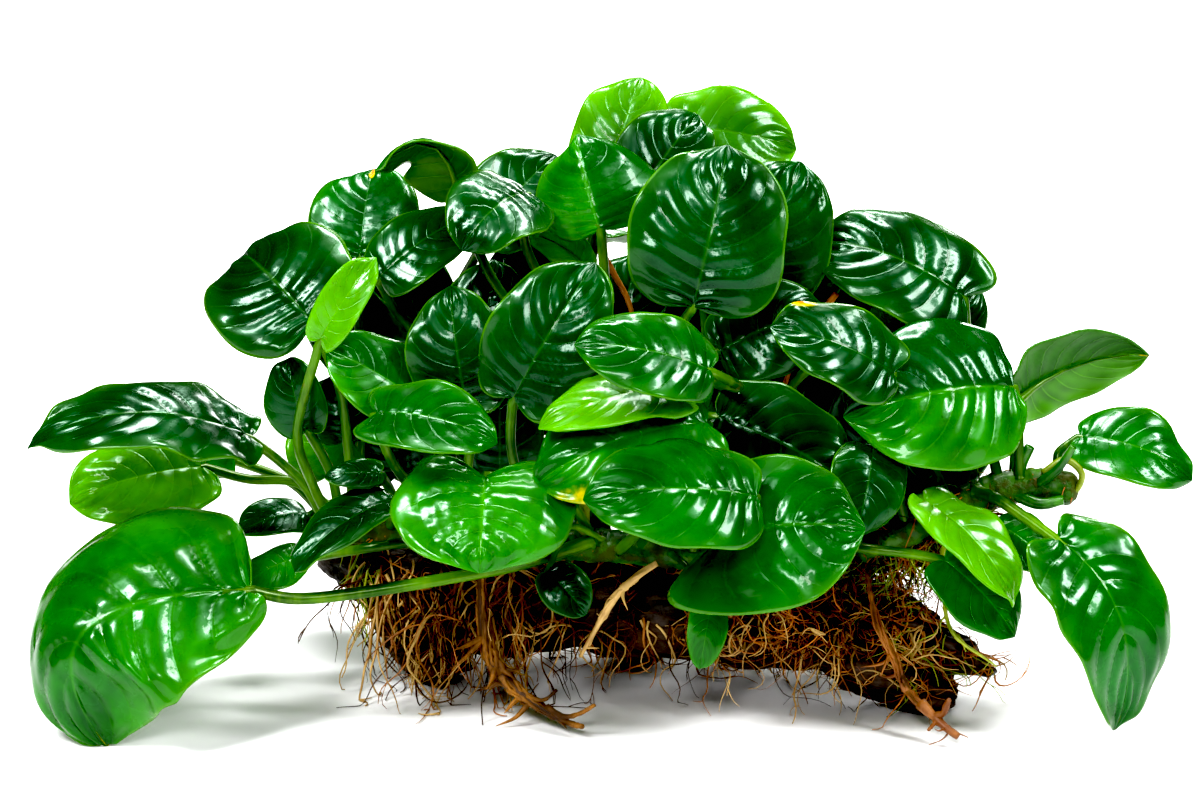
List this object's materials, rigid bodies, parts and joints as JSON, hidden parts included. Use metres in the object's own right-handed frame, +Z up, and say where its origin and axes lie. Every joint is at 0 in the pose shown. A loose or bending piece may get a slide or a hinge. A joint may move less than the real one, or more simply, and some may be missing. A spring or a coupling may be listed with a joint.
{
  "type": "anubias on driftwood",
  "caption": "Broad-leaved aquarium anubias whose creeping rhizomes and roots hold to a dark piece of driftwood that stands on three feet.",
  "frame": {"origin": "on the floor under the middle of the plant's bounding box", "axes": "+X along the driftwood to the right as the picture shows it, +Y away from the viewer, +Z up"},
  "size_m": [0.3416, 0.1676, 0.1826],
  "materials": {
    "driftwood": "dark fibrous bark, waterlogged",
    "rhizome": "green and brown with ring scars and old fibres",
    "thick_roots": "matt tan, bark-like",
    "fine_roots": "matt orange-tan fibres",
    "leaf_dark": "wet gloss, dark green",
    "leaf_mature": "wet gloss, green",
    "leaf_bright": "wet gloss, bright green",
    "leaf_young": "gloss, thin yellow-green, lets light through"
  },
  "bodies": {
    "root": {"leaf_behind_round": "leaf_dark", "leaf_far_right": "leaf_mature", "leaf_far_right_droop": "leaf_mature", "leaf_far_right_upper": "leaf_bright", "leaf_front_bright": "leaf_mature", "leaf_front_green": "leaf_bright", "leaf_front_heart": "leaf_bright", "leaf_front_large_dark": "leaf_dark", "leaf_front_left_curved": "leaf_mature", "leaf_front_left_dark": "leaf_dark", "leaf_front_left_green": "leaf_bright", "leaf_front_light": "leaf_young", "leaf_front_lowest": "leaf_mature", "leaf_front_right_dark": "leaf_dark", "leaf_front_right_shiny": "leaf_dark", "leaf_front_shiny": "leaf_mature", "leaf_left_big": "leaf_bright", "leaf_left_curled": "leaf_dark", "leaf_left_light": "leaf_young", "leaf_left_long": "leaf_dark", "leaf_left_low_dark": "leaf_dark", "leaf_right_curled": "leaf_dark", "leaf_right_large": "leaf_bright", "leaf_right_low": "leaf_bright", "leaf_right_of_round": "leaf_dark", "leaf_right_wavy": "leaf_young", "leaf_top_dark": "leaf_dark", "leaf_top_drape": "leaf_dark", "leaf_top_folded": "leaf_bright", "leaf_top_left": "leaf_mature", "leaf_top_left_shiny": "leaf_dark", "leaf_top_left_underside": "leaf_mature", "leaf_top_light": "leaf_young", "leaf_top_right_light": "leaf_young", "leaf_top_round": "leaf_dark", "leaf_upper_left_dark": "leaf_dark", "leaf_upper_left_young": "leaf_young", "leaf_upper_right": "leaf_dark", "rhizome_back_left": "rhizome", "rhizome_back_right": "rhizome", "rhizome_crown": "rhizome", "rhizome_crown_left": "rhizome", "rhizome_left": "rhizome", "rhizome_middle": "rhizome", "rhizome_right": "rhizome", "root_back": "thick_roots", "root_front_left": "thick_roots", "root_front_middle": "thick_roots", "root_right": "thick_roots", "root_right_green": "thick_roots", "roots_fine_back_left": "fine_roots", "roots_fine_back_right": "fine_roots", "roots_fine_left": "fine_roots", "roots_fine_middle": "fine_roots", "roots_fine_right": "fine_roots", "wood_back_foot": "driftwood", "wood_left_lump": "driftwood", "wood_log": "driftwood", "wood_right_foot": "driftwood", "wood_right_prong": "driftwood"}
  },
  "joints": []
}
